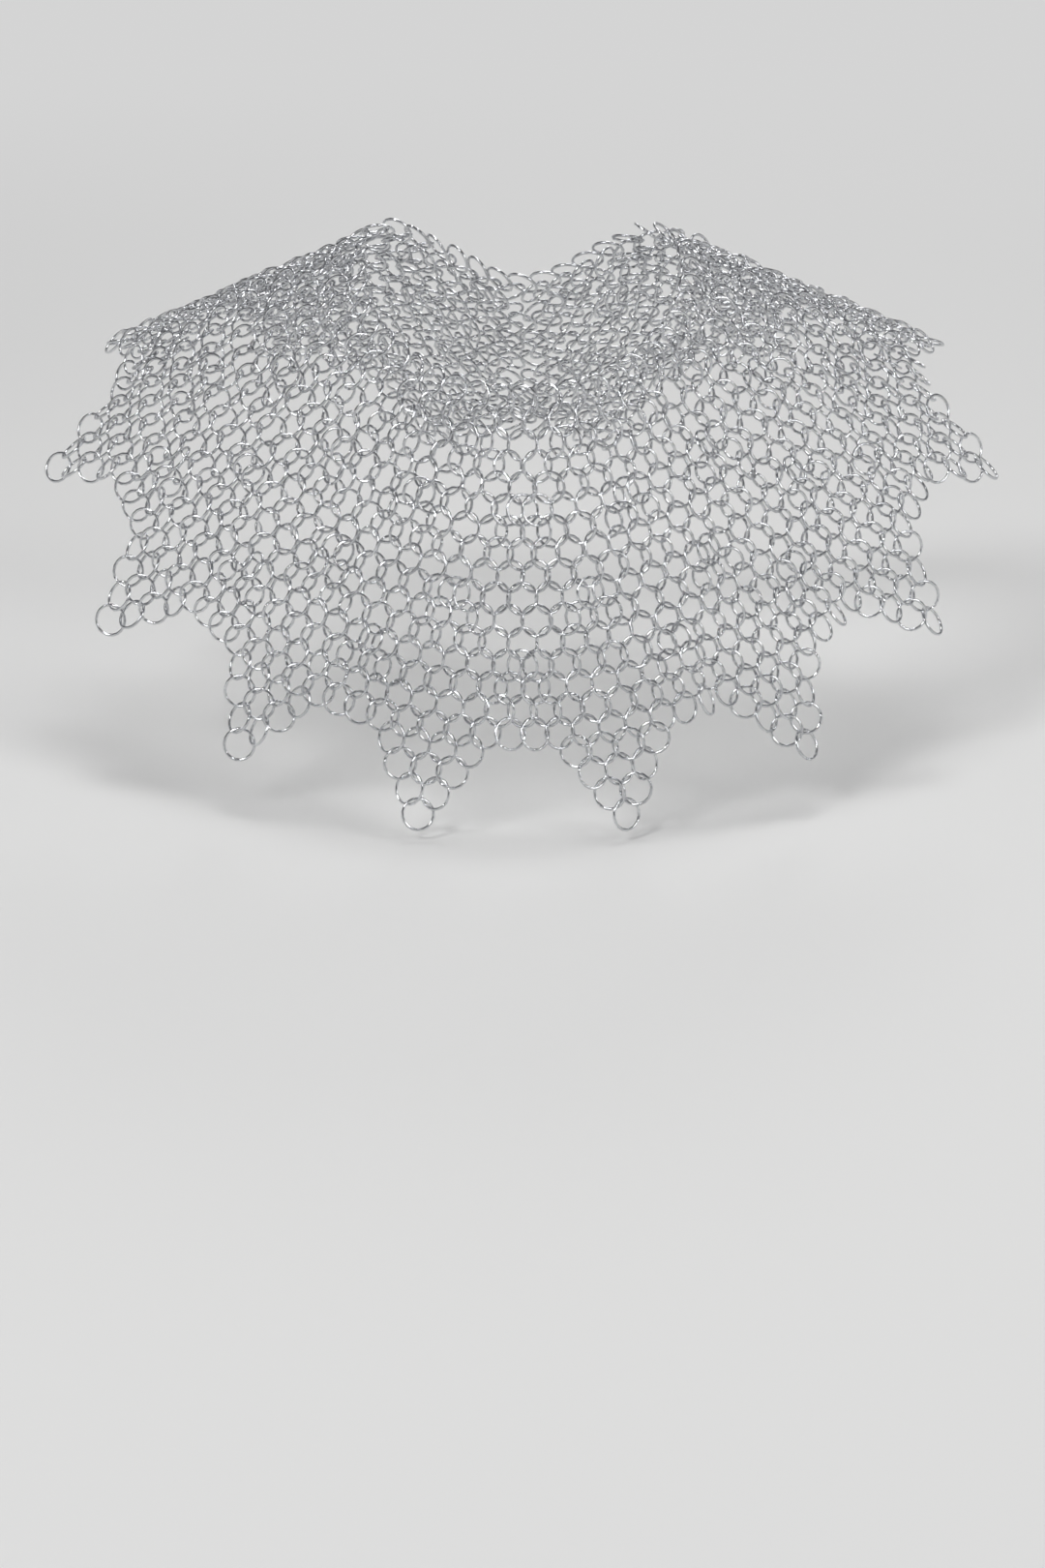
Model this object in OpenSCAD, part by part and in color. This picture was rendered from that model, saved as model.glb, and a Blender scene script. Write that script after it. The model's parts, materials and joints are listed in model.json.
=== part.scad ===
// Chainmail neck guard: a round mantle of linked wire rings whose lower edge is cut
// into fourteen points. Each course of rings runs once round the neck opening and hangs
// from the course above it. A slit at the back is closed by four hooked rings.
// Millimetres. The front looks to -Y and +Z is up.

/* [Rings] */
// Inner diameter of a ring
ring_bore = 10.8; // [10.4:0.1:13]
// Diameter of the wire
wire_d = 1.1; // [0.8:0.05:1.15]
// Turn of a ring out of the face of the mail, one way and the other by courses, degrees
ring_turn = 22.5; // [20:0.5:23]

/* [Weave] */
// Step between neighbours in the neck course, as a share of the ring bore
neck_step_share = 0.842; // [0.832:0.002:0.846]
// Step from the neck course to the next one, as a share of the ring bore
course_step_share = 0.735; // [0.725:0.0025:0.745]
// Growth of that step from course to course, as a share of the ring bore
course_gain_share = 0.004; // [0.003:0.0002:0.0044]
// Push of the rings beside an added ring off its column, as a share of the ring bore
added_push_share = 0.036; // [0.028:0.002:0.044]
// Offset of the two rings under an added ring, as a share of the ring bore
under_added_share = 0.445; // [0.4:0.005:0.47]
// Share by which each course evens out the places it takes from the course above
evening = 0.29; // [0.2:0.01:0.35]
// Slack between the last course and the points, so that a point can swing
point_slack = 1.2; // [0.8:0.1:1.6]

/* [Hang] */
// Angle of the flat sheet that the mail would open out to, degrees
flat_angle = 262.8; // [260:0.2:264]
// Half the difference in slope between the front and the back, degrees
fall_front_back = 19.2; // [17:0.2:21]
// Half the difference in slope between the ends and the sides, degrees
fall_ends_sides = 12; // [10:0.2:14]
// Third wave of the slope round the neck, degrees
fall_third = -3.6; // [-5:0.1:-2]
// Fourth wave of the slope round the neck, degrees
fall_fourth = 1.6; // [0.5:0.1:2.5]
// First wave of the heading of the fall lines, degrees
heading_first = 27.2; // [25:0.2:29]
// Second wave of the heading of the fall lines, degrees
heading_second = 12.7; // [11:0.1:14]
// Third wave of the heading of the fall lines, degrees
heading_third = 5.1; // [4:0.1:6]
// Fourth wave of the heading of the fall lines, degrees
heading_fourth = 2; // [1:0.1:3]

/* [Closure] */
// Width of the mouth of a hooked ring
hook_mouth = 2.4; // [1.6:0.1:4]
// Place of the mouth round the hooked ring, from its lower end, degrees
hook_mouth_at = 90; // [60:5:120]

/* [Hidden] */
$fn = 72;
SMALL = 0.000001;

// points round the edge, courses above the notches and courses in a point
points = 14;
body_courses = 16;
point_courses = 4;
// courses that take an added ring in each gore: under its middle, then between two gores
added_in_middle = [2, 9];
added_between = [5, 12];
// courses of the slit that a hooked ring closes, and the last course of the slit
hooked_courses = [0, 4, 7, 11];
slit_end = 11;
// the slit lies between these gores
slit_gore = points / 2 - 1;

ring_r = (ring_bore + wire_d) / 2;
course_step = course_step_share * ring_bore;
course_gain = course_gain_share * ring_bore;
neck_step = neck_step_share * ring_bore;
neck_rings_per_gore = 3;
turn = flat_angle * PI / 180;
neck_run = neck_step * neck_rings_per_gore * points / turn;

// distance of a course from the apex that all fall lines start from
function run(i) =
    neck_run + course_step * i + course_gain * i * (i - 1) / 2
    - (i < body_courses ? 0 : point_slack);
// length of one gore along a course
function gore_width(i) = turn * run(i) / points;

// direction of the fall line at the angle u round the neck, from the front
function fall(u, mean) =
    mean + fall_front_back * cos(u) + fall_ends_sides * cos(2 * u)
    + fall_third * cos(3 * u) + fall_fourth * cos(4 * u);
function heading(u) =
    u + heading_first * sin(u) + heading_second * sin(2 * u)
    + heading_third * sin(3 * u) + heading_fourth * sin(4 * u);
function way(u, mean) =
    let (down = fall(u, mean), to = heading(u))
    [sin(to) * cos(down), -cos(to) * cos(down), -sin(down)];

// the mail can't stretch, so the mean slope is the one whose fall lines span the flat angle
look = 2;
function span(mean) =
    let (steps = [for (u = [0:look:360 - look]) norm(way(u + look, mean) - way(u, mean))])
    steps * [for (s = steps) 1];
function solved(low, high, tries) =
    let (middle = (low + high) / 2)
    tries == 0 ? middle
    : span(middle) > turn ? solved(middle, high, tries - 1)
    : solved(low, middle, tries - 1);
mean_fall = solved(20, 70, 24);

// places along a course are even, so the angle is looked up from the share of the turn
turned = [for (u = 0, sum = 0; u <= 360;
               sum = sum + norm(way(u + look, mean_fall) - way(u, mean_fall)), u = u + look)
          [sum, u]];
whole_turn = turned[len(turned) - 1][0];
function angle_at(share) = lookup(share * whole_turn, turned);

// the origin is the middle of the neck opening
neck_front = neck_run * way(0, mean_fall);
neck_back = neck_run * way(180, mean_fall);
apex = -(neck_front + neck_back) / 2;

// places in a gore are shares of its width from its middle, from -0.5 to 0.5
function wrapped(x) = x > 0.5 + SMALL ? x - 1 : x < -0.5 + SMALL ? x + 1 : x;
function middles(a) =
    let (n = len(a),
         first = (a[n - 1] - 1 + a[0]) / 2,
         inner = [for (j = [0:n - 2]) (a[j] + a[j + 1]) / 2])
    first > -0.5 + SMALL ? concat([first], inner) : concat(inner, [first + 1]);
function even(a) =
    let (n = len(a), edge = a[n - 1] > 0.5 - SMALL)
    [for (j = [0:n - 1]) edge ? 0.5 - (n - 1 - j) / n : -0.5 + (j + 0.5) / n];
function is_in(i, list) = len([for (entry = list) if (entry == i) entry]) > 0;
function is_added(i) = is_in(i, added_in_middle) || is_in(i, added_between);
function column(i) = is_in(i, added_in_middle) ? 0 : 0.5;
function with_added(a, at) =
    at == 0 ? concat([for (x = a) if (x < 0) x], [0], [for (x = a) if (x > 0) x])
    : concat(a, [0.5]);
// the two places nearest the column at, moved to the given shares off it
function off_column(a, at, near) =
    let (off = [for (x = a) wrapped(x - at)],
         least = min([for (d = off) abs(d)]))
    [for (j = [0:len(a) - 1])
        abs(off[j]) > least + SMALL ? a[j] : wrapped(at + sign(off[j]) * near(least))];
function next_course(a, i) =
    let (mid = middles(a), width = gore_width(i), evened = even(mid))
    is_added(i) ?
        with_added(off_column(mid, column(i),
                              function(least) least + added_push_share * ring_bore / width),
                   column(i))
    : is_added(i - 1) ?
        off_column(mid, column(i - 1),
                   function(least) under_added_share * ring_bore / width)
    : [for (j = [0:len(mid) - 1]) mid[j] + evening * (evened[j] - mid[j])];
neck_places = [-1 / 6, 1 / 6, 1 / 2];
courses = [for (i = 0, a = neck_places; i < body_courses; i = i + 1, a = next_course(a, i)) a];

// a point hangs from the inner rings of the last course and loses a ring a course
last_places = courses[body_courses - 1];
root_rings = point_courses + 1;
root_places = [for (x = last_places) if (abs(x) * len(last_places) < root_rings / 2) x];
function narrowed(a, i) =
    [for (j = [0:len(a) - 2]) (a[j] + a[j + 1]) / 2 * run(i - 1) / run(i)];
tapers = [for (i = body_courses, a = narrowed(root_places, body_courses);
               i < body_courses + point_courses;
               i = i + 1, a = narrowed(a, i)) a];

course_nodes = [for (i = [0:body_courses - 1]) str("course_", i < 10 ? "0" : "", i)];
point_nodes = [for (g = [0:points - 1]) str("point_", g < 9 ? "0" : "", g + 1)];
hook_nodes = [for (k = [0:len(hooked_courses) - 1]) str("hooked_ring_", k + 1)];

// puts its children at a share of the turn on course i, with X along the course, Y down
// the fall line and Z through the ring
module on_course(share, i) {
    u = angle_at(share);
    down = way(u, mean_fall);
    ahead = way(u + look / 2, mean_fall) - way(u - look / 2, mean_fall);
    along = ahead / norm(ahead);
    out = cross(down, along);
    side = i % 2 == 0 ? ring_turn : -ring_turn;
    x = along * cos(side) + out * sin(side);
    z = -along * sin(side) + out * cos(side);
    p = apex + run(i) * down;
    multmatrix([[x[0], down[0], -z[0], p[0]],
                [x[1], down[1], -z[1], p[1]],
                [x[2], down[2], -z[2], p[2]]])
        children();
}

module ring() {
    rotate_extrude()
        translate([ring_r, 0])
            circle(d = wire_d);
}

module course(i) {
    color("silver")
        for (g = [0:points - 1], x = courses[i])
            if (!(g == slit_gore && x > 0.5 - SMALL && i <= slit_end))
                on_course((g + 0.5 + x) / points, i)
                    ring();
}

module point(g) {
    color("silver")
        for (k = [0:point_courses - 1], x = tapers[k])
            on_course((g + 0.5 + x) / points, body_courses + k)
                ring();
}

// an open ring that stands in the slit; turned, its mouth lets the rings beside it out
module hooked_ring(i) {
    half_mouth = (hook_mouth + wire_d) / 2 / ring_r * 180 / PI;
    color("gainsboro")
        on_course((slit_gore + 1) / points, i)
            rotate([0, 0, 90 - hook_mouth_at + half_mouth])
                rotate_extrude(angle = 360 - 2 * half_mouth)
                    translate([ring_r, 0])
                        circle(d = wire_d);
}

for (i = [0:body_courses - 1])
    course(i);
for (g = [0:points - 1])
    point(g);
for (k = [0:len(hooked_courses) - 1])
    hooked_ring(hooked_courses[k]);
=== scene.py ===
import json
import math

import bpy
import numpy as np
from bpy.props import FloatProperty, FloatVectorProperty, IntProperty, PointerProperty
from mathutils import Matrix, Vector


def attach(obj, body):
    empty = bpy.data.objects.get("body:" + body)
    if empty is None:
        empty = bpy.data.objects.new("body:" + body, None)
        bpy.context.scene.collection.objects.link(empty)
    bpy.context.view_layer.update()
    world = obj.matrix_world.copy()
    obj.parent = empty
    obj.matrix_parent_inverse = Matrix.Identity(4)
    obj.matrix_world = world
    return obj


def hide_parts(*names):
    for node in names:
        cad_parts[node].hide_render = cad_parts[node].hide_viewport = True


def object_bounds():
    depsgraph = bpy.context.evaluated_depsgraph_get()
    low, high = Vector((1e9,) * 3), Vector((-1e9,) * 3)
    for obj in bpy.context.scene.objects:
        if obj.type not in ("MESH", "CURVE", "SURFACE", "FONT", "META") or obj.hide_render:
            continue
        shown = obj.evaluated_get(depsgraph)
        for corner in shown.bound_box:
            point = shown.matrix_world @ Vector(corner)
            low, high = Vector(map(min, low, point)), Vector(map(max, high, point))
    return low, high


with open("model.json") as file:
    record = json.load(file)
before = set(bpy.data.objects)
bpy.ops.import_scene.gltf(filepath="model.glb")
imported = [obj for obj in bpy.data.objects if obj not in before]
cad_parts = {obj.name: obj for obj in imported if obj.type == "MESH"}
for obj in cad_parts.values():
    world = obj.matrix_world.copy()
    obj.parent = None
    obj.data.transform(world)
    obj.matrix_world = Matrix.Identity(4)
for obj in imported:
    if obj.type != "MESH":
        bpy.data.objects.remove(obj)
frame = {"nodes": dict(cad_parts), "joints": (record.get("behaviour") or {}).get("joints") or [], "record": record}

CAD_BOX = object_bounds()

bl_info = {
    "name": "Mail mantle",
    "version": (1, 0, 0),
    "blender": (4, 5, 0),
    "location": "3D View > Sidebar > Mail",
    "description": "Dresses the linked rings of a mail mantle in drawn, butted wire",
    "category": "Object",
}

NODES = frame["nodes"]
BODY_OF = {
    node: body
    for body, members in frame["record"]["behaviour"]["bodies"].items()
    for node in members
}
JOINT_OF = {joint["child"]: joint for joint in frame["joints"]}
COURSES = sorted(n for n in NODES if n.startswith("course_"))
POINTS = sorted(n for n in NODES if n.startswith("point_"))
HOOKED = sorted(n for n in NODES if n.startswith("hooked_ring_"))


# vectors


def unit(vectors):
    """Each vector at length one."""
    return vectors / np.linalg.norm(vectors, axis=1)[:, None]


def square_to(axis):
    """Two unit vectors square to each axis and to each other.

    The first is the downhill direction in the ring's plane, and the second completes a
    right-handed set with the axis.
    """
    downhill = np.array([0.0, 0.0, -1.0]) + axis[:, 2:3] * axis
    first = unit(downhill)
    return first, np.cross(axis, first)


def near_each_other(centre, reach):
    """Table that tells for each pair of centres if they are closer than the reach."""
    return ((centre[:, None] - centre) ** 2).sum(-1) < reach**2


# reading the rings of the frame


def faces_of(node):
    """Corners of a node's triangles in metres, and the same corners numbered by place.

    Triangles that meet share a number. Both have one row for each triangle.
    """
    mesh = NODES[node].data
    spots = np.empty(len(mesh.vertices) * 3, np.float32)
    mesh.vertices.foreach_get("co", spots)
    spots = spots.reshape(-1, 3)
    corners = np.empty(len(mesh.loops), np.int32)
    mesh.loops.foreach_get("vertex_index", corners)
    _, number = np.unique(np.round(spots, 7), axis=0, return_inverse=True)
    number = number.reshape(-1)
    return spots[corners].reshape(-1, 3, 3).astype(float), number[corners].reshape(-1, 3)


def areas_of(spots):
    """Twice the area of each triangle, which serves as its weight."""
    return np.linalg.norm(np.cross(spots[:, 1] - spots[:, 0], spots[:, 2] - spots[:, 0]), axis=1)


def rings_of(node):
    """Centre and axis of each loose ring of a node.

    Triangles that share a corner take the lowest number among them until nothing changes,
    which leaves one number for each ring. The area-weighted mean of a ring's triangles is its
    centre, and the direction in which it spreads least is its axis.
    """
    spots, number = faces_of(node)
    label = np.arange(number.max() + 1)
    while True:
        lowest = label[number].min(1)
        lowered = label.copy()
        np.minimum.at(lowered, number.ravel(), np.repeat(lowest, 3))
        lowered = lowered[lowered]
        if (lowered == label).all():
            break
        label = lowered
    _, ring = np.unique(label[number[:, 0]], return_inverse=True)
    ring = ring.reshape(-1)
    middle = spots.mean(1)
    area = areas_of(spots)
    total = np.bincount(ring, area)
    weighted = [np.bincount(ring, area * middle[:, k]) for k in range(3)]
    centre = np.stack(weighted, 1) / total[:, None]
    off = middle - centre[ring]
    spread = np.empty((len(total), 3, 3))
    for j in range(3):
        for k in range(3):
            spread[:, j, k] = np.bincount(ring, area * off[:, j] * off[:, k])
    axis = np.linalg.eigh(spread)[1][:, :, 0]
    axis *= np.where(axis[:, 2:3] < 0, -1.0, 1.0)
    return centre, axis


def joint_frame(node):
    """Centre and unit axis of the joint that a hooked ring turns on, as one row each."""
    joint = JOINT_OF[node]
    return np.array([joint["pos_m"]], float), unit(np.array([joint["axis"]], float))


# a corner that lies this little off a ring's plane is in it
IN_PLANE = 0.00002


def wire_of(node):
    """Mean radius of a ring and radius of its wire, from a hooked ring, which is alone in its
    node. Its corners that lie in its own plane are on the inner or the outer edge of the wire,
    so the ring's radius is the mean of their least and greatest reach, and the wire's is half
    the difference."""
    centre, axis = joint_frame(node)
    off = faces_of(node)[0].reshape(-1, 3) - centre
    height = off @ axis[0]
    reach = np.linalg.norm(off - height[:, None] * axis, axis=1)[np.abs(height) < IN_PLANE]
    return float((reach.min() + reach.max()) / 2), float((reach.max() - reach.min()) / 2)


RING_R, WIRE_R = wire_of(HOOKED[0])


# settings


class RingSettings(bpy.types.PropertyGroup):
    """Sizes of the wire rings."""

    ring_radius: FloatProperty(
        name="Ring radius", description="Radius of a ring to the middle of its wire",
        default=RING_R, unit="LENGTH",
    )
    wire_radius: FloatProperty(
        name="Wire radius", description="Radius of the wire", default=WIRE_R, unit="LENGTH",
    )
    seam: FloatProperty(
        name="Seam", description="Width of the seam where the ends of a ring's wire meet",
        default=0.00012, unit="LENGTH",
    )
    set_off: FloatProperty(
        name="Seam set-off", description="How far the wire's two ends pass each other sideways",
        default=0.00016, unit="LENGTH",
    )
    out_of_round: FloatProperty(
        name="Out of round", description="Largest share by which a ring is bent out of round",
        default=0.018,
    )
    lie: FloatProperty(
        name="Uneven lie", description="How far the mail ripples off its even drape",
        default=0.0015, unit="LENGTH",
    )
    tilt: FloatProperty(
        name="Tilt", description="How far a ring tips by itself, where its neighbours let it",
        default=math.radians(15.0), unit="ROTATION",
    )
    sections: IntProperty(name="Sections", description="Cross sections along a ring", default=19)
    sides: IntProperty(name="Sides", description="Sides of the wire", default=6)
    seed: IntProperty(name="Seed", description="Seed of the uneven lie", default=11)


class FinishSettings(bpy.types.PropertyGroup):
    """Colours of the wire."""

    bright: FloatVectorProperty(
        name="Bright wire", description="Colour of clean wire", subtype="COLOR",
        size=3, default=(0.78, 0.79, 0.81), min=0, max=1,
    )
    dull: FloatVectorProperty(
        name="Dulled wire", description="Colour of wire that has dulled", subtype="COLOR",
        size=3, default=(0.26, 0.27, 0.29), min=0, max=1,
    )
    rubbed: FloatVectorProperty(
        name="Rubbed wire", description="Colour where rings bear on each other", subtype="COLOR",
        size=3, default=(0.88, 0.88, 0.87), min=0, max=1,
    )


class StageSettings(bpy.types.PropertyGroup):
    """Floor, light and camera."""

    floor: FloatVectorProperty(
        name="Floor", description="Colour of the floor", subtype="COLOR",
        size=3, default=(0.82, 0.82, 0.81), min=0, max=1,
    )
    backdrop: FloatVectorProperty(
        name="Backdrop", description="Colour of the backdrop and of the floor far out",
        subtype="COLOR", size=3, default=(0.66, 0.66, 0.66), min=0, max=1,
    )
    distance: FloatProperty(
        name="Camera distance", description="Distance from the camera to the mantle",
        default=1.5, unit="LENGTH",
    )
    pitch: FloatProperty(
        name="Camera pitch", description="Angle by which the camera looks down",
        default=math.radians(21.0), unit="ROTATION",
    )
    aim: FloatProperty(
        name="Camera aim", description="How far the view's middle lies below the neck opening",
        default=0.1685, unit="LENGTH",
    )
    focal_pixels: FloatProperty(
        name="Focal length in pixels",
        description="Focal length, in pixels of the 1080 by 1620 picture",
        default=4074.0,
    )


# making rings of wire


# the ripples of the lie, as radians in a metre along each axis, and where each one starts
RIPPLES = np.array([[62.0, 25.0, -38.0], [-30.0, 58.0, 44.0], [48.0, -52.0, 70.0]])
RIPPLE_STARTS = np.array([0.3, 1.9, 4.1])
# distance from the rings linked across a joint within which the ripples die away
STILL_REACH = 0.02
# half the step over which the slope of the ripples is taken
HALF_STEP = 0.0005
# how far below the mean ring a point lies that is inside the mantle
INSIDE_DROP = 0.1
# distance within which rings share one face of the mail, and within which they can touch
FACE_REACH = 0.016
TOUCH_REACH = 0.0135
# gap that tipped rings keep, and points at which it is looked for
LEAST_GAP = 0.00004
GAP_POINTS = 120
# rounds of easing, and the share of a lean that one round leaves
EASINGS = 12
EASED = 0.7


def ripple(spot, still):
    """Height of the lie over the even drape, from -1 to 1: the mean of three sine waves that
    run in different directions, and nothing at the still places."""
    value = np.sin(spot @ RIPPLES.T + RIPPLE_STARTS).mean(-1)
    near = ((spot[:, None] - still) ** 2).sum(-1).min(-1)
    return value * (1 - np.exp(-near / STILL_REACH**2))


def linked_across(centre, body):
    """Marks the rings that can touch a ring of another body, which have to stay where the
    joints of the frame expect them."""
    return (near_each_other(centre, TOUCH_REACH) & (body[:, None] != body)).any(1)


def face_normals(centre, axis):
    """Normal of the mail's face at each ring: the mean of the outward axes of the rings nearby,
    because rings lean one way and the other by courses."""
    inside = centre.mean(0) - (0.0, 0.0, INSIDE_DROP)
    outward = axis * np.sign(((centre - inside) * axis).sum(1))[:, None]
    return unit(near_each_other(centre, FACE_REACH) @ outward)


def wire_gaps(centre, axis, pairs, settings):
    """Gap between the wires of each pair of rings.

    A point on one ring at the height h off the other's plane and the distance q from its axis
    is as far from the other's middle line as the root of h squared plus (q - R) squared.
    """
    one, other = pairs.T
    first, second = square_to(axis)
    turn = np.arange(GAP_POINTS) * 2 * math.pi / GAP_POINTS
    spots = centre[one, None] + settings.ring_radius * (
        np.cos(turn)[:, None] * first[one, None] + np.sin(turn)[:, None] * second[one, None]
    )
    off = spots - centre[other, None]
    height = (off * axis[other, None]).sum(-1)
    reach = np.sqrt(np.maximum((off**2).sum(-1) - height**2, 0.0))
    away = np.sqrt(height**2 + (reach - settings.ring_radius) ** 2)
    return away.min(1) - 2 * settings.wire_radius


def tipped(centre, axis, free, settings, chance):
    """Each free axis leaned by a chance amount along two directions square to it. Where wires
    would come closer than the least gap, both rings' leans are eased, a little each round."""
    first, second = square_to(axis)
    lean = np.clip(chance.normal(size=(len(axis), 2)), -2, 2) * settings.tilt * free[:, None]
    pairs = np.argwhere(np.triu(near_each_other(centre, TOUCH_REACH), 1))
    for _ in range(EASINGS):
        leaned = unit(axis + lean[:, :1] * first + lean[:, 1:] * second)
        tight = pairs[wire_gaps(centre, leaned, pairs, settings) < LEAST_GAP]
        lean[np.unique(tight)] *= EASED
    return unit(axis + lean[:, :1] * first + lean[:, 1:] * second)


def ripple_slope(centre, still):
    """Slope of the ripples at each ring, along X, Y and Z."""
    ways = np.eye(3) * HALF_STEP
    rises = [ripple(centre + way, still) - ripple(centre - way, still) for way in ways]
    return np.stack(rises, 1) / (2 * HALF_STEP)


# what laid_rings has worked out, by the settings that it depends on
LAID = {}


def laid_rings(settings):
    """Centre, axis and looseness of every ring as the mail lies, by node.

    The drape of the frame is moved along its own normal by the ripples, each axis turns with
    their slope, and loose rings tip by themselves. Rings that are linked across a joint stay
    as they are in the frame.
    """
    key = (
        settings.lie, settings.tilt, settings.seed, settings.ring_radius, settings.wire_radius,
    )
    if key not in LAID:
        read = {node: rings_of(node) for node in COURSES + POINTS}
        read.update((node, joint_frame(node)) for node in HOOKED)
        centre = np.concatenate([pair[0] for pair in read.values()])
        axis = np.concatenate([pair[1] for pair in read.values()])
        count = [len(pair[0]) for pair in read.values()]
        body = np.repeat([BODY_OF[node] for node in read], count)
        free = ~linked_across(centre, body)
        still = centre[~free]
        normal = face_normals(centre, axis)
        slope = settings.lie * ripple_slope(centre, still)
        slope -= (slope * normal).sum(1)[:, None] * normal
        centre = centre + settings.lie * ripple(centre, still)[:, None] * normal
        axis = unit(axis + np.cross(np.cross(normal, -slope), axis))
        chance = np.random.default_rng(settings.seed)
        axis = tipped(centre, axis, free, settings, chance)
        ends = np.cumsum(count)[:-1]
        split = [np.split(values, ends) for values in (centre, axis, free)]
        LAID[key] = dict(zip(read, zip(*split)))
    return LAID[key]


# angle from a ring's lowest or highest place to where a neighbour bears on it, and the width
# of the rubbed place as a sine
BEARING_AT = math.radians(48.0)
BEARING_WIDTH = 0.16


def wire_rings(name, laid, start, gap, settings, chance, rounding=0.0):
    """Piece of butted wire rings, linked to the scene.

    A ring's wire is a circle of sides carried along an arc from one side of its seam to the
    other. The point at angle a along the arc and v round the wire is
    centre + (R(a) + r cos v) e(a) + (r sin v + s(a)) axis, where e(a) is the direction from
    the centre, R(a) swells and shrinks twice round the ring, and s(a) runs from half the
    set-off on one side of the plane to half on the other. The wire's radius r is smaller at
    its two ends by the rounding.
    """
    centre, axis, loose = laid
    n, sections, sides = len(centre), settings.sections, settings.sides
    first, second = square_to(axis)
    half_gap = gap / 2 / settings.ring_radius
    run = np.linspace(0.0, 1.0, sections)
    if rounding:
        bite = settings.wire_radius * rounding / (2 * math.pi * settings.ring_radius)
        run = np.concatenate([[0.0, bite], run[1:-1], [1 - bite, 1.0]])
        sections = len(run)
    angle = start[:, None] + half_gap + run[None, :] * (2 * math.pi - 2 * half_gap)
    swell = settings.out_of_round * chance.uniform(-1, 1, (n, 1)) * loose[:, None]
    swing = chance.uniform(0, math.pi, (n, 1))
    radius = settings.ring_radius * (1 + swell * np.cos(2 * (angle - swing)))
    side_step = settings.set_off * chance.uniform(-1, 1, (n, 1)) * loose[:, None] * (run - 0.5)
    outward = (
        np.cos(angle)[..., None] * first[:, None] + np.sin(angle)[..., None] * second[:, None]
    )
    turn = np.arange(sides) * 2 * math.pi / sides
    thick = np.full(sections, settings.wire_radius)
    if rounding:
        thick[[0, -1]] *= 1 - rounding
    reach = radius[:, :, None] + thick[None, :, None] * np.cos(turn)
    height = thick[None, :, None] * np.sin(turn) + side_step[:, :, None]
    spots = (
        centre[:, None, None]
        + reach[..., None] * outward[:, :, None]
        + height[..., None] * axis[:, None, None]
    )

    along, around = np.meshgrid(np.arange(sections - 1), np.arange(sides), indexing="ij")
    after = (around + 1) % sides
    quads = np.stack(
        [along * sides + around, (along + 1) * sides + around,
         (along + 1) * sides + after, along * sides + after], -1,
    ).reshape(-1, 4)
    caps = np.stack([np.arange(sides), (sections - 1) * sides + np.arange(sides)[::-1]])
    shift = (np.arange(n) * sections * sides)[:, None, None]
    all_quads = (quads[None] + shift).reshape(-1, 4)
    all_caps = (caps[None] + shift).reshape(-1, sides)

    mesh = bpy.data.meshes.new(name)
    mesh.from_pydata(spots.reshape(-1, 3), [], all_quads.tolist() + all_caps.tolist())
    smooth = np.r_[np.ones(len(all_quads), bool), np.zeros(len(all_caps), bool)]
    mesh.polygons.foreach_set("use_smooth", smooth)

    # the map runs along the wire in millimetres and once round it, from a chance start
    lengths = run * 2 * math.pi * settings.ring_radius * 1000
    offset = chance.uniform(0, 500, n)
    u = np.stack([lengths[along], lengths[along + 1], lengths[along + 1], lengths[along]], -1)
    v = np.stack([around, around, around + 1, around + 1], -1) / sides
    quad_uv = np.stack(
        [u[None] + offset[:, None, None, None], np.broadcast_to(v, (n, *v.shape))], -1
    ).reshape(-1, 2)
    cap_uv = np.zeros((n, 2, sides, 2))
    cap_uv[..., 0] = offset[:, None, None]
    cap_uv[..., 1] = 0.5
    layer = mesh.uv_layers.new(name="Wire")
    both_uv = np.concatenate([quad_uv, cap_uv.reshape(-1, 2)])
    layer.uv.foreach_set("vector", both_uv.ravel().astype(np.float32))

    # rings bear on their neighbours on the inner side of the wire, to each side of the lowest
    # and of the highest place
    near = np.abs(np.abs(np.sin(angle)) - math.sin(BEARING_AT)) / BEARING_WIDTH
    bearing = np.exp(-(near**2))[:, :, None] * np.clip(-np.cos(turn), 0, 1)
    tone = np.broadcast_to(chance.uniform(0, 1, (n, 1, 1)), bearing.shape)
    for title, values in (("bearing", bearing), ("ring_tone", tone)):
        attribute = mesh.attributes.new(title, "FLOAT", "POINT")
        attribute.data.foreach_set("value", values.ravel().astype(np.float32))
    mesh.update()
    piece = bpy.data.objects.new(name, mesh)
    bpy.context.scene.collection.objects.link(piece)
    return piece


def dressed(node, piece, material):
    """Gives a piece its material and its body, and hides the node that it stands for."""
    piece.data.materials.append(material)
    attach(piece, BODY_OF[node])
    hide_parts(node)


def chance_for(node, seed):
    """Random numbers of a node, the same in each run."""
    return np.random.default_rng(seed * 1000 + sorted(NODES).index(node))


def closed_rings(node, settings):
    """The closed rings of a node as the mail lies, each with its seam at a chance angle."""
    chance = chance_for(node, settings.seed)
    laid = laid_rings(settings)[node]
    start = chance.uniform(0, 2 * math.pi, len(laid[0]))
    return wire_rings(node + "_wire", laid, start, settings.seam, settings, chance)


# half widths of a mouth that are tried, in radians: least, greatest and how many
HALF_MOUTHS = (0.01, 0.6, 600)
# share of the wire's radius by which the cut ends at a mouth are rounded off
CUT_ROUNDING = 0.4


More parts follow.
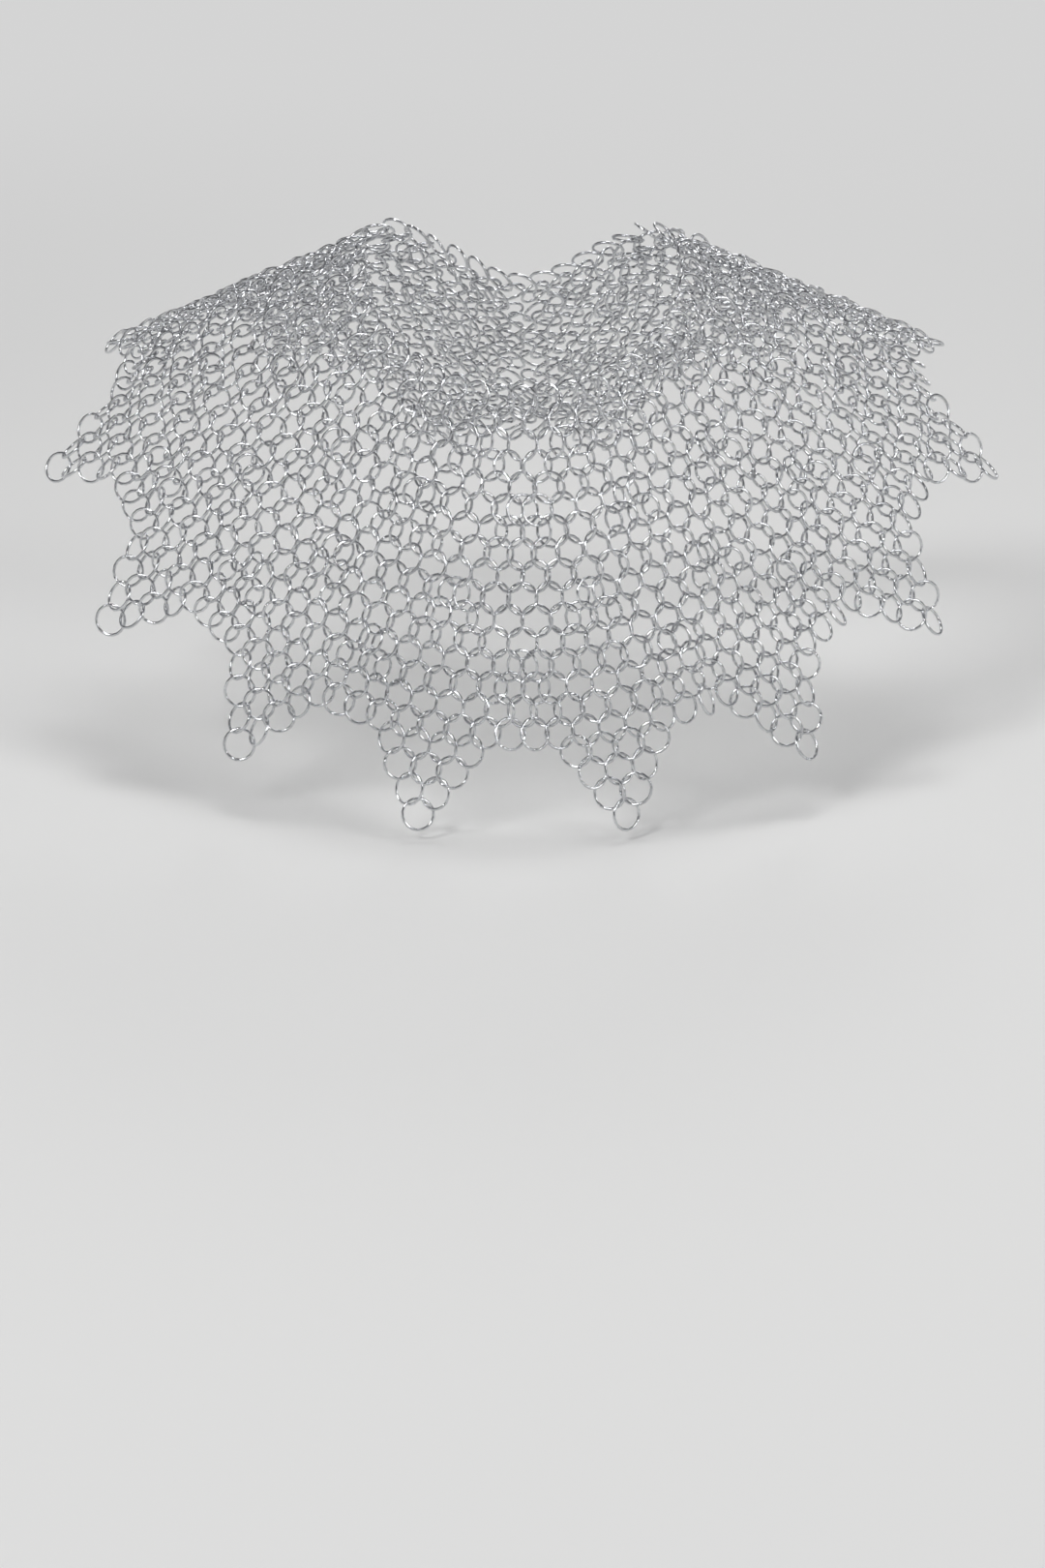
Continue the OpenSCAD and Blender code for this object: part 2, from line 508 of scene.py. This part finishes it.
def hooked_ring(node, settings):
    """A hooked ring, whose centre and axis are those of the joint that it turns on.

    Its mouth lies opposite the mean of its wire, and the mouth's width follows from how far
    that mean lies off the centre: a ring of radius R with half its mouth h radians wide has
    its mean R sin h / (pi - h) off the centre.
    """
    chance = chance_for(node, settings.seed)
    laid = laid_rings(settings)[node]
    centre, axis, _ = laid
    spots, _ = faces_of(node)
    area = areas_of(spots)
    mean = (spots.mean(1) * area[:, None]).sum(0) / area.sum() - centre[0]
    mean -= mean @ axis[0] * axis[0]
    off = np.linalg.norm(mean) / settings.ring_radius
    tried = np.linspace(*HALF_MOUTHS)
    half_mouth = float(tried[np.argmin(np.abs(np.sin(tried) / (math.pi - tried) - off))])
    first, second = square_to(axis)
    start = math.atan2(-mean @ second[0], -mean @ first[0])
    gap = 2 * half_mouth * settings.ring_radius
    start = np.array([start])
    return wire_rings(node + "_wire", laid, start, gap, settings, chance, CUT_ROUNDING)


# materials


def node_in(tree, kind, at=(0, 0), **values):
    """A new node of a tree, with its own settings and its inputs' values by name."""
    made = tree.nodes.new(kind)
    made.location = at
    for key, value in values.items():
        if hasattr(made, key):
            setattr(made, key, value)
        else:
            made.inputs[key.replace("_", " ")].default_value = value
    return made


def colour_mix(tree, at):
    """A colour mix with its two colour inputs and its colour output."""
    mix = node_in(tree, "ShaderNodeMix", at, data_type="RGBA")
    first, second = [s for s in mix.inputs if s.name in "AB" and s.type == "RGBA"]
    return mix, first, second, [s for s in mix.outputs if s.type == "RGBA"][0]


# scale of the noise of the draw lines: for a millimetre along the wire, and for once round it
DRAW_LINES = (0.25, 22.0, 1.0)
# noise product at which wire is clean, and at which it is as dull as it gets
DULL_RANGE = (0.14, 0.38)
# brightness of the darkest and of the brightest ring
TONE_RANGE = (0.78, 1.0)
# roughness that full dulling adds
DULL_ROUGHNESS = 0.45
# share of the rubbed colour where rings bear on each other
RUBBED_SHARE = 0.7


def drawn_wire_group():
    """Shader node group for drawn wire.

    It puts out how bright the wire is, how rough, where it is rubbed, and the height of its
    fine draw lines. The draw lines are noise stretched along the wire. Dull patches are noise
    at 6 mm and at 1 mm, each ring has its own tone, and the places where rings bear are clean.
    """
    group = bpy.data.node_groups.new("Drawn wire", "ShaderNodeTree")
    for title, kind, default in (
        ("Tone", "NodeSocketFloat", 0.5), ("Bearing", "NodeSocketFloat", 0.0),
        ("Dulling", "NodeSocketFloat", 0.5), ("Sheen", "NodeSocketFloat", 0.2),
    ):
        socket = group.interface.new_socket(name=title, in_out="INPUT", socket_type=kind)
        socket.default_value = default
    for title in ("Brightness", "Roughness", "Rubbed", "Height"):
        group.interface.new_socket(name=title, in_out="OUTPUT", socket_type="NodeSocketFloat")
    enter = node_in(group, "NodeGroupInput", (-900, 0))
    leave = node_in(group, "NodeGroupOutput", (900, 0))
    link = group.links.new

    wire = node_in(group, "ShaderNodeUVMap", (-900, 400), uv_map="Wire")
    stretched = node_in(group, "ShaderNodeMapping", (-700, 400))
    stretched.inputs["Scale"].default_value = DRAW_LINES
    link(wire.outputs["UV"], stretched.inputs["Vector"])
    lines = node_in(
        group, "ShaderNodeTexNoise", (-500, 400), Scale=1.0, Detail=3.0, Roughness=0.6
    )
    link(stretched.outputs["Vector"], lines.inputs["Vector"])

    place = node_in(group, "ShaderNodeTexCoord", (-900, -300))
    broad = node_in(group, "ShaderNodeTexNoise", (-500, -200), Scale=160.0, Detail=2.0)
    fine = node_in(group, "ShaderNodeTexNoise", (-500, -450), Scale=1000.0, Detail=3.0)
    link(place.outputs["Object"], broad.inputs["Vector"])
    link(place.outputs["Object"], fine.inputs["Vector"])
    patches = node_in(group, "ShaderNodeMath", (-300, -300), operation="MULTIPLY")
    link(broad.outputs["Fac"], patches.inputs[0])
    link(fine.outputs["Fac"], patches.inputs[1])
    spread = node_in(group, "ShaderNodeMapRange", (-100, -300))
    spread.inputs["From Min"].default_value, spread.inputs["From Max"].default_value = DULL_RANGE
    link(patches.outputs[0], spread.inputs["Value"])

    dulled = node_in(group, "ShaderNodeMath", (100, -300), operation="MULTIPLY")
    link(spread.outputs["Result"], dulled.inputs[0])
    link(enter.outputs["Dulling"], dulled.inputs[1])
    unrubbed = node_in(group, "ShaderNodeMath", (100, -500), operation="SUBTRACT", use_clamp=True)
    unrubbed.inputs[0].default_value = 1.0
    link(enter.outputs["Bearing"], unrubbed.inputs[1])
    left = node_in(group, "ShaderNodeMath", (300, -300), operation="MULTIPLY")
    link(dulled.outputs[0], left.inputs[0])
    link(unrubbed.outputs[0], left.inputs[1])

    own = node_in(group, "ShaderNodeMapRange", (100, 100))
    own.inputs["To Min"].default_value, own.inputs["To Max"].default_value = TONE_RANGE
    link(enter.outputs["Tone"], own.inputs["Value"])
    bright = node_in(group, "ShaderNodeMath", (500, 0), operation="SUBTRACT", use_clamp=True)
    link(own.outputs["Result"], bright.inputs[0])
    link(left.outputs[0], bright.inputs[1])
    link(bright.outputs[0], leave.inputs["Brightness"])

    rough = node_in(group, "ShaderNodeMath", (500, -250), operation="MULTIPLY_ADD")
    rough.inputs[1].default_value = DULL_ROUGHNESS
    link(left.outputs[0], rough.inputs[0])
    link(enter.outputs["Sheen"], rough.inputs[2])
    link(rough.outputs[0], leave.inputs["Roughness"])
    link(enter.outputs["Bearing"], leave.inputs["Rubbed"])
    link(lines.outputs["Fac"], leave.inputs["Height"])
    return group


def wire_material(name, group, finish, dulling, sheen):
    """Steel wire, a metal whose colour runs from dulled to bright and to rubbed."""
    material = bpy.data.materials.new(name)
    material.use_nodes = True
    tree = material.node_tree
    tree.nodes.clear()
    link = tree.links.new
    out = node_in(tree, "ShaderNodeOutputMaterial", (900, 0))
    metal = node_in(tree, "ShaderNodeBsdfPrincipled", (600, 0))
    metal.inputs["Metallic"].default_value = 1.0
    link(metal.outputs["BSDF"], out.inputs["Surface"])
    tone = node_in(tree, "ShaderNodeAttribute", (-500, 100), attribute_name="ring_tone")
    bearing = node_in(tree, "ShaderNodeAttribute", (-500, -100), attribute_name="bearing")
    wire = node_in(tree, "ShaderNodeGroup", (-250, 0))
    wire.node_tree = group
    wire.inputs["Dulling"].default_value = dulling
    wire.inputs["Sheen"].default_value = sheen
    link(tone.outputs["Fac"], wire.inputs["Tone"])
    link(bearing.outputs["Fac"], wire.inputs["Bearing"])
    colour, dull, bright, weathered = colour_mix(tree, (50, 150))
    dull.default_value = (*finish.dull, 1)
    bright.default_value = (*finish.bright, 1)
    polish, unpolished, rubbed, cleaned = colour_mix(tree, (300, 150))
    rubbed.default_value = (*finish.rubbed, 1)
    share = node_in(tree, "ShaderNodeMath", (50, -100), operation="MULTIPLY")
    share.inputs[1].default_value = RUBBED_SHARE
    link(wire.outputs["Brightness"], colour.inputs["Factor"])
    link(wire.outputs["Rubbed"], share.inputs[0])
    link(share.outputs[0], polish.inputs["Factor"])
    link(weathered, unpolished)
    link(cleaned, metal.inputs["Base Color"])
    link(wire.outputs["Roughness"], metal.inputs["Roughness"])
    bump = node_in(tree, "ShaderNodeBump", (300, -250), Strength=0.25, Distance=0.00004)
    link(wire.outputs["Height"], bump.inputs["Height"])
    link(bump.outputs["Normal"], metal.inputs["Normal"])
    return material


def finish_group():
    """The drawn-wire group, made once."""
    return bpy.data.node_groups.get("Drawn wire") or drawn_wire_group()


# dulling and sheen of the closed rings' wire, and of the newer wire of the hooked rings
RING_LOOK = (0.42, 0.13)
HOOK_LOOK = (0.3, 0.12)


def ring_wire(finish):
    """The wire of the closed rings, made once."""
    made = bpy.data.materials.get("ring wire")
    return made or wire_material("ring wire", finish_group(), finish, *RING_LOOK)


# operators


class MAIL_OT_courses(bpy.types.Operator):
    """Make the rings of every course out of butted wire"""

    bl_idname = "mail.courses"
    bl_label = "Courses"

    def execute(self, context):
        scene = context.scene
        material = ring_wire(scene.mail_finish)
        for node in COURSES:
            dressed(node, closed_rings(node, scene.mail_rings), material)
        return {"FINISHED"}


class MAIL_OT_points(bpy.types.Operator):
    """Make the rings of the fourteen points, each on its own body"""

    bl_idname = "mail.points"
    bl_label = "Points"

    def execute(self, context):
        scene = context.scene
        material = ring_wire(scene.mail_finish)
        for node in POINTS:
            dressed(node, closed_rings(node, scene.mail_rings), material)
        return {"FINISHED"}


class MAIL_OT_hooked_rings(bpy.types.Operator):
    """Make the open rings that close the slit at the back"""

    bl_idname = "mail.hooked_rings"
    bl_label = "Hooked rings"

    def execute(self, context):
        scene = context.scene
        material = wire_material("hook wire", finish_group(), scene.mail_finish, *HOOK_LOOK)
        for node in HOOKED:
            dressed(node, hooked_ring(node, scene.mail_rings), material)
        return {"FINISHED"}


# circles of the floor's mesh, and corners on each
FLOOR_CIRCLES = 12
FLOOR_CORNERS = 64


def floor_mesh(height, reach):
    """Flat round floor at one height. Its circles have the radius reach times a share squared,
    so that the mesh is finer in the middle."""
    radius = (reach * np.linspace(0.0, 1.0, FLOOR_CIRCLES + 1)[1:] ** 2)[:, None]
    corner = np.arange(FLOOR_CORNERS)
    turn = corner * 2 * math.pi / FLOOR_CORNERS
    circles = np.stack(
        [radius * np.cos(turn), radius * np.sin(turn), np.full((len(radius), len(turn)), height)],
        -1,
    )
    spots = np.concatenate([[[0.0, 0.0, height]], circles.reshape(-1, 3)])
    after = (corner + 1) % FLOOR_CORNERS
    middle = np.stack([np.zeros_like(corner), 1 + corner, 1 + after], 1)
    inner = 1 + np.arange(FLOOR_CIRCLES - 1)[:, None] * FLOOR_CORNERS
    outer = inner + FLOOR_CORNERS
    bands = np.stack([inner + corner, outer + corner, outer + after, inner + after], -1)
    bands = bands.reshape(-1, 4)
    mesh = bpy.data.meshes.new("floor")
    mesh.from_pydata(spots, [], middle.tolist() + bands.tolist())
    mesh.polygons.foreach_set("use_smooth", np.ones(len(mesh.polygons), bool))
    return mesh


def seen_by_camera(tree, at):
    """Socket that is one for rays from the camera, off something glossy or through something
    clear, else nothing."""
    path = node_in(tree, "ShaderNodeLightPath", at)
    either = node_in(tree, "ShaderNodeMath", (at[0] + 200, at[1]), operation="MAXIMUM")
    any_of = node_in(tree, "ShaderNodeMath", (at[0] + 400, at[1]), operation="MAXIMUM")
    tree.links.new(path.outputs["Is Camera Ray"], either.inputs[0])
    tree.links.new(path.outputs["Is Glossy Ray"], either.inputs[1])
    tree.links.new(either.outputs[0], any_of.inputs[0])
    tree.links.new(path.outputs["Is Transmission Ray"], any_of.inputs[1])
    return any_of.outputs[0]


# distance from the middle up to which the floor is all paint, and from which it has the
# backdrop's plain shade
FLOOR_LIT = 0.35
FLOOR_PLAIN = 1.5
# shade of the darker part of the floor's mottle, as a share
MOTTLE = 0.985


def floor_material(colour, far):
    """Matt pale floor with a faint mottle. Out from the mail it passes over into the plain
    shade of the backdrop, so that no edge shows where it ends."""
    material = bpy.data.materials.new("floor paint")
    material.use_nodes = True
    tree = material.node_tree
    link = tree.links.new
    shader = tree.nodes["Principled BSDF"]
    shader.inputs["Roughness"].default_value = 0.8
    shader.inputs["Specular IOR Level"].default_value = 0.2
    place = node_in(tree, "ShaderNodeTexCoord", (-800, 0))
    mottle = node_in(tree, "ShaderNodeTexNoise", (-600, 0), Scale=3.0, Detail=2.0)
    ramp = node_in(tree, "ShaderNodeValToRGB", (-400, 0))
    ramp.color_ramp.elements[0].color = (*[c * MOTTLE for c in colour], 1)
    ramp.color_ramp.elements[1].color = (*colour, 1)
    link(place.outputs["Object"], mottle.inputs["Vector"])
    link(mottle.outputs["Fac"], ramp.inputs["Fac"])
    link(ramp.outputs["Color"], shader.inputs["Base Color"])

    reach = node_in(tree, "ShaderNodeVectorMath", (-600, -400), operation="LENGTH")
    out = node_in(
        tree, "ShaderNodeMapRange", (-400, -400), interpolation_type="SMOOTHSTEP",
        From_Min=FLOOR_LIT, From_Max=FLOOR_PLAIN,
    )
    share = node_in(tree, "ShaderNodeMath", (-200, -400), operation="MULTIPLY")
    plain = node_in(tree, "ShaderNodeEmission", (0, -400))
    plain.inputs["Color"].default_value = (*far, 1)
    mixed = node_in(tree, "ShaderNodeMixShader", (500, 0))
    link(place.outputs["Object"], reach.inputs[0])
    link(reach.outputs["Value"], out.inputs["Value"])
    link(out.outputs["Result"], share.inputs[0])
    link(seen_by_camera(tree, (-600, -600)), share.inputs[1])
    link(share.outputs[0], mixed.inputs[0])
    link(shader.outputs["BSDF"], mixed.inputs[1])
    link(plain.outputs["Emission"], mixed.inputs[2])
    link(mixed.outputs["Shader"], tree.nodes["Material Output"].inputs["Surface"])
    return material


# sine of the height up to which the room is as pale as the backdrop
HORIZON = 0.2
# sines of heights and greys of the room overhead, which is dark so that bright wire has
# something dark to mirror, and the share by which its greys are bluer
OVERHEAD = ((0.26, 0.02), (0.42, 0.02), (0.5, 0.10))
BLUER = 1.05
# sine of the height from which the room has its last shade
ZENITH_AT = 0.9
ZENITH = (0.14, 0.14, 0.15)


def studio_world(colour):
    """World that has the backdrop's colour up to nearly twelve degrees over the horizon, which
    is as much as a level view sees of it, and is darker overhead."""
    world = bpy.data.worlds.new("studio")
    bpy.context.scene.world = world
    world.use_nodes = True
    tree = world.node_tree
    tree.nodes.clear()
    link = tree.links.new
    out = node_in(tree, "ShaderNodeOutputWorld", (600, 0))
    light = node_in(tree, "ShaderNodeBackground", (400, 0))
    way = node_in(tree, "ShaderNodeTexCoord", (-400, 0))
    split = node_in(tree, "ShaderNodeSeparateXYZ", (-200, 0))
    ramp = node_in(tree, "ShaderNodeValToRGB", (0, 0))
    elements = ramp.color_ramp.elements
    elements[0].position, elements[0].color = HORIZON, (*colour, 1)
    elements[1].position, elements[1].color = ZENITH_AT, (*ZENITH, 1)
    for position, grey in OVERHEAD:
        elements.new(position).color = (grey, grey, grey * BLUER, 1)
    link(way.outputs["Generated"], split.inputs["Vector"])
    link(split.outputs["Z"], ramp.inputs["Fac"])
    link(ramp.outputs["Color"], light.inputs["Color"])
    link(light.outputs["Background"], out.inputs["Surface"])


# place, size and power of each lamp, and the spot that all look at
LAMPS = {
    "key": ((-1.1, -1.3, 1.5), 0.6, 22.0),
    "fill": ((1.5, -1.0, 1.0), 0.7, 12.0),
    "top": ((0.1, 0.5, 1.8), 0.6, 11.0),
    "back": ((0.3, 1.9, 0.9), 0.6, 7.0),
}
LAMP_TARGET = (0.0, 0.0, -0.06)
# reach of the floor, and how far it lies under the lowest ring
FLOOR_REACH = 12.0
FLOOR_DROP = 0.004
# rows of the picture, and height of the camera's sensor in millimetres
PICTURE_ROWS = 1620.0
SENSOR_MM = 36.0


def soft_lamp(name, spot, size, power):
    """Square area lamp at a spot, turned to the lamps' target."""
    light = bpy.data.lights.new(name, "AREA")
    light.size = size
    light.energy = power
    lamp = bpy.data.objects.new(name, light)
    way = np.array(LAMP_TARGET) - np.array(spot)
    length = np.linalg.norm(way)
    lamp.location = spot
    lamp.rotation_euler = (
        math.acos(-way[2] / length), 0.0, math.atan2(way[1], way[0]) - math.pi / 2,
    )
    bpy.context.scene.collection.objects.link(lamp)


class MAIL_OT_stage(bpy.types.Operator):
    """Make the floor, the soft lamps and the camera"""

    bl_idname = "mail.stage"
    bl_label = "Stage"

    def execute(self, context):
        scene = context.scene
        stage = scene.mail_stage
        scene.view_settings.view_transform = "Standard"
        height = float(CAD_BOX[0][2]) - FLOOR_DROP
        floor = bpy.data.objects.new("floor", floor_mesh(height, FLOOR_REACH))
        floor.data.materials.append(floor_material(stage.floor, stage.backdrop))
        scene.collection.objects.link(floor)
        studio_world(stage.backdrop)
        for name, lamp in LAMPS.items():
            soft_lamp(name, *lamp)

        lens = bpy.data.cameras.new("camera")
        lens.sensor_fit = "VERTICAL"
        lens.sensor_height = SENSOR_MM
        lens.lens = stage.focal_pixels / PICTURE_ROWS * SENSOR_MM
        lens.clip_start = 0.05
        lens.clip_end = 60.0
        camera = bpy.data.objects.new("camera", lens)
        down, across = math.sin(stage.pitch), math.cos(stage.pitch)
        camera.location = (
            0.0,
            -across * stage.distance - down * stage.aim,
            down * stage.distance - across * stage.aim,
        )
        camera.rotation_euler = (math.pi / 2 - stage.pitch, 0.0, 0.0)
        scene.collection.objects.link(camera)
        scene.camera = camera
        return {"FINISHED"}


class MAIL_PT_panel(bpy.types.Panel):
    """Settings of the mail mantle"""

    bl_label = "Mail"
    bl_idname = "MAIL_PT_panel"
    bl_space_type = "VIEW_3D"
    bl_region_type = "UI"
    bl_category = "Mail"

    def draw(self, context):
        scene = context.scene
        for group in (scene.mail_rings, scene.mail_finish, scene.mail_stage):
            box = self.layout.box()
            for key in group.bl_rna.properties.keys():
                if key not in ("rna_type", "name"):
                    box.prop(group, key)
        for operator in (MAIL_OT_courses, MAIL_OT_points, MAIL_OT_hooked_rings, MAIL_OT_stage):
            self.layout.operator(operator.bl_idname)


CLASSES = (
    RingSettings, FinishSettings, StageSettings,
    MAIL_OT_courses, MAIL_OT_points, MAIL_OT_hooked_rings, MAIL_OT_stage, MAIL_PT_panel,
)


def register():
    for cls in CLASSES:
        bpy.utils.register_class(cls)
    bpy.types.Scene.mail_rings = PointerProperty(type=RingSettings)
    bpy.types.Scene.mail_finish = PointerProperty(type=FinishSettings)
    bpy.types.Scene.mail_stage = PointerProperty(type=StageSettings)


def unregister():
    del bpy.types.Scene.mail_stage
    del bpy.types.Scene.mail_finish
    del bpy.types.Scene.mail_rings
    for cls in reversed(CLASSES):
        bpy.utils.unregister_class(cls)


def main():
    """Makes every piece and the stage."""
    register()
    bpy.ops.mail.courses()
    bpy.ops.mail.points()
    bpy.ops.mail.hooked_rings()
    bpy.ops.mail.stage()


if __name__ == "__main__":
    main()
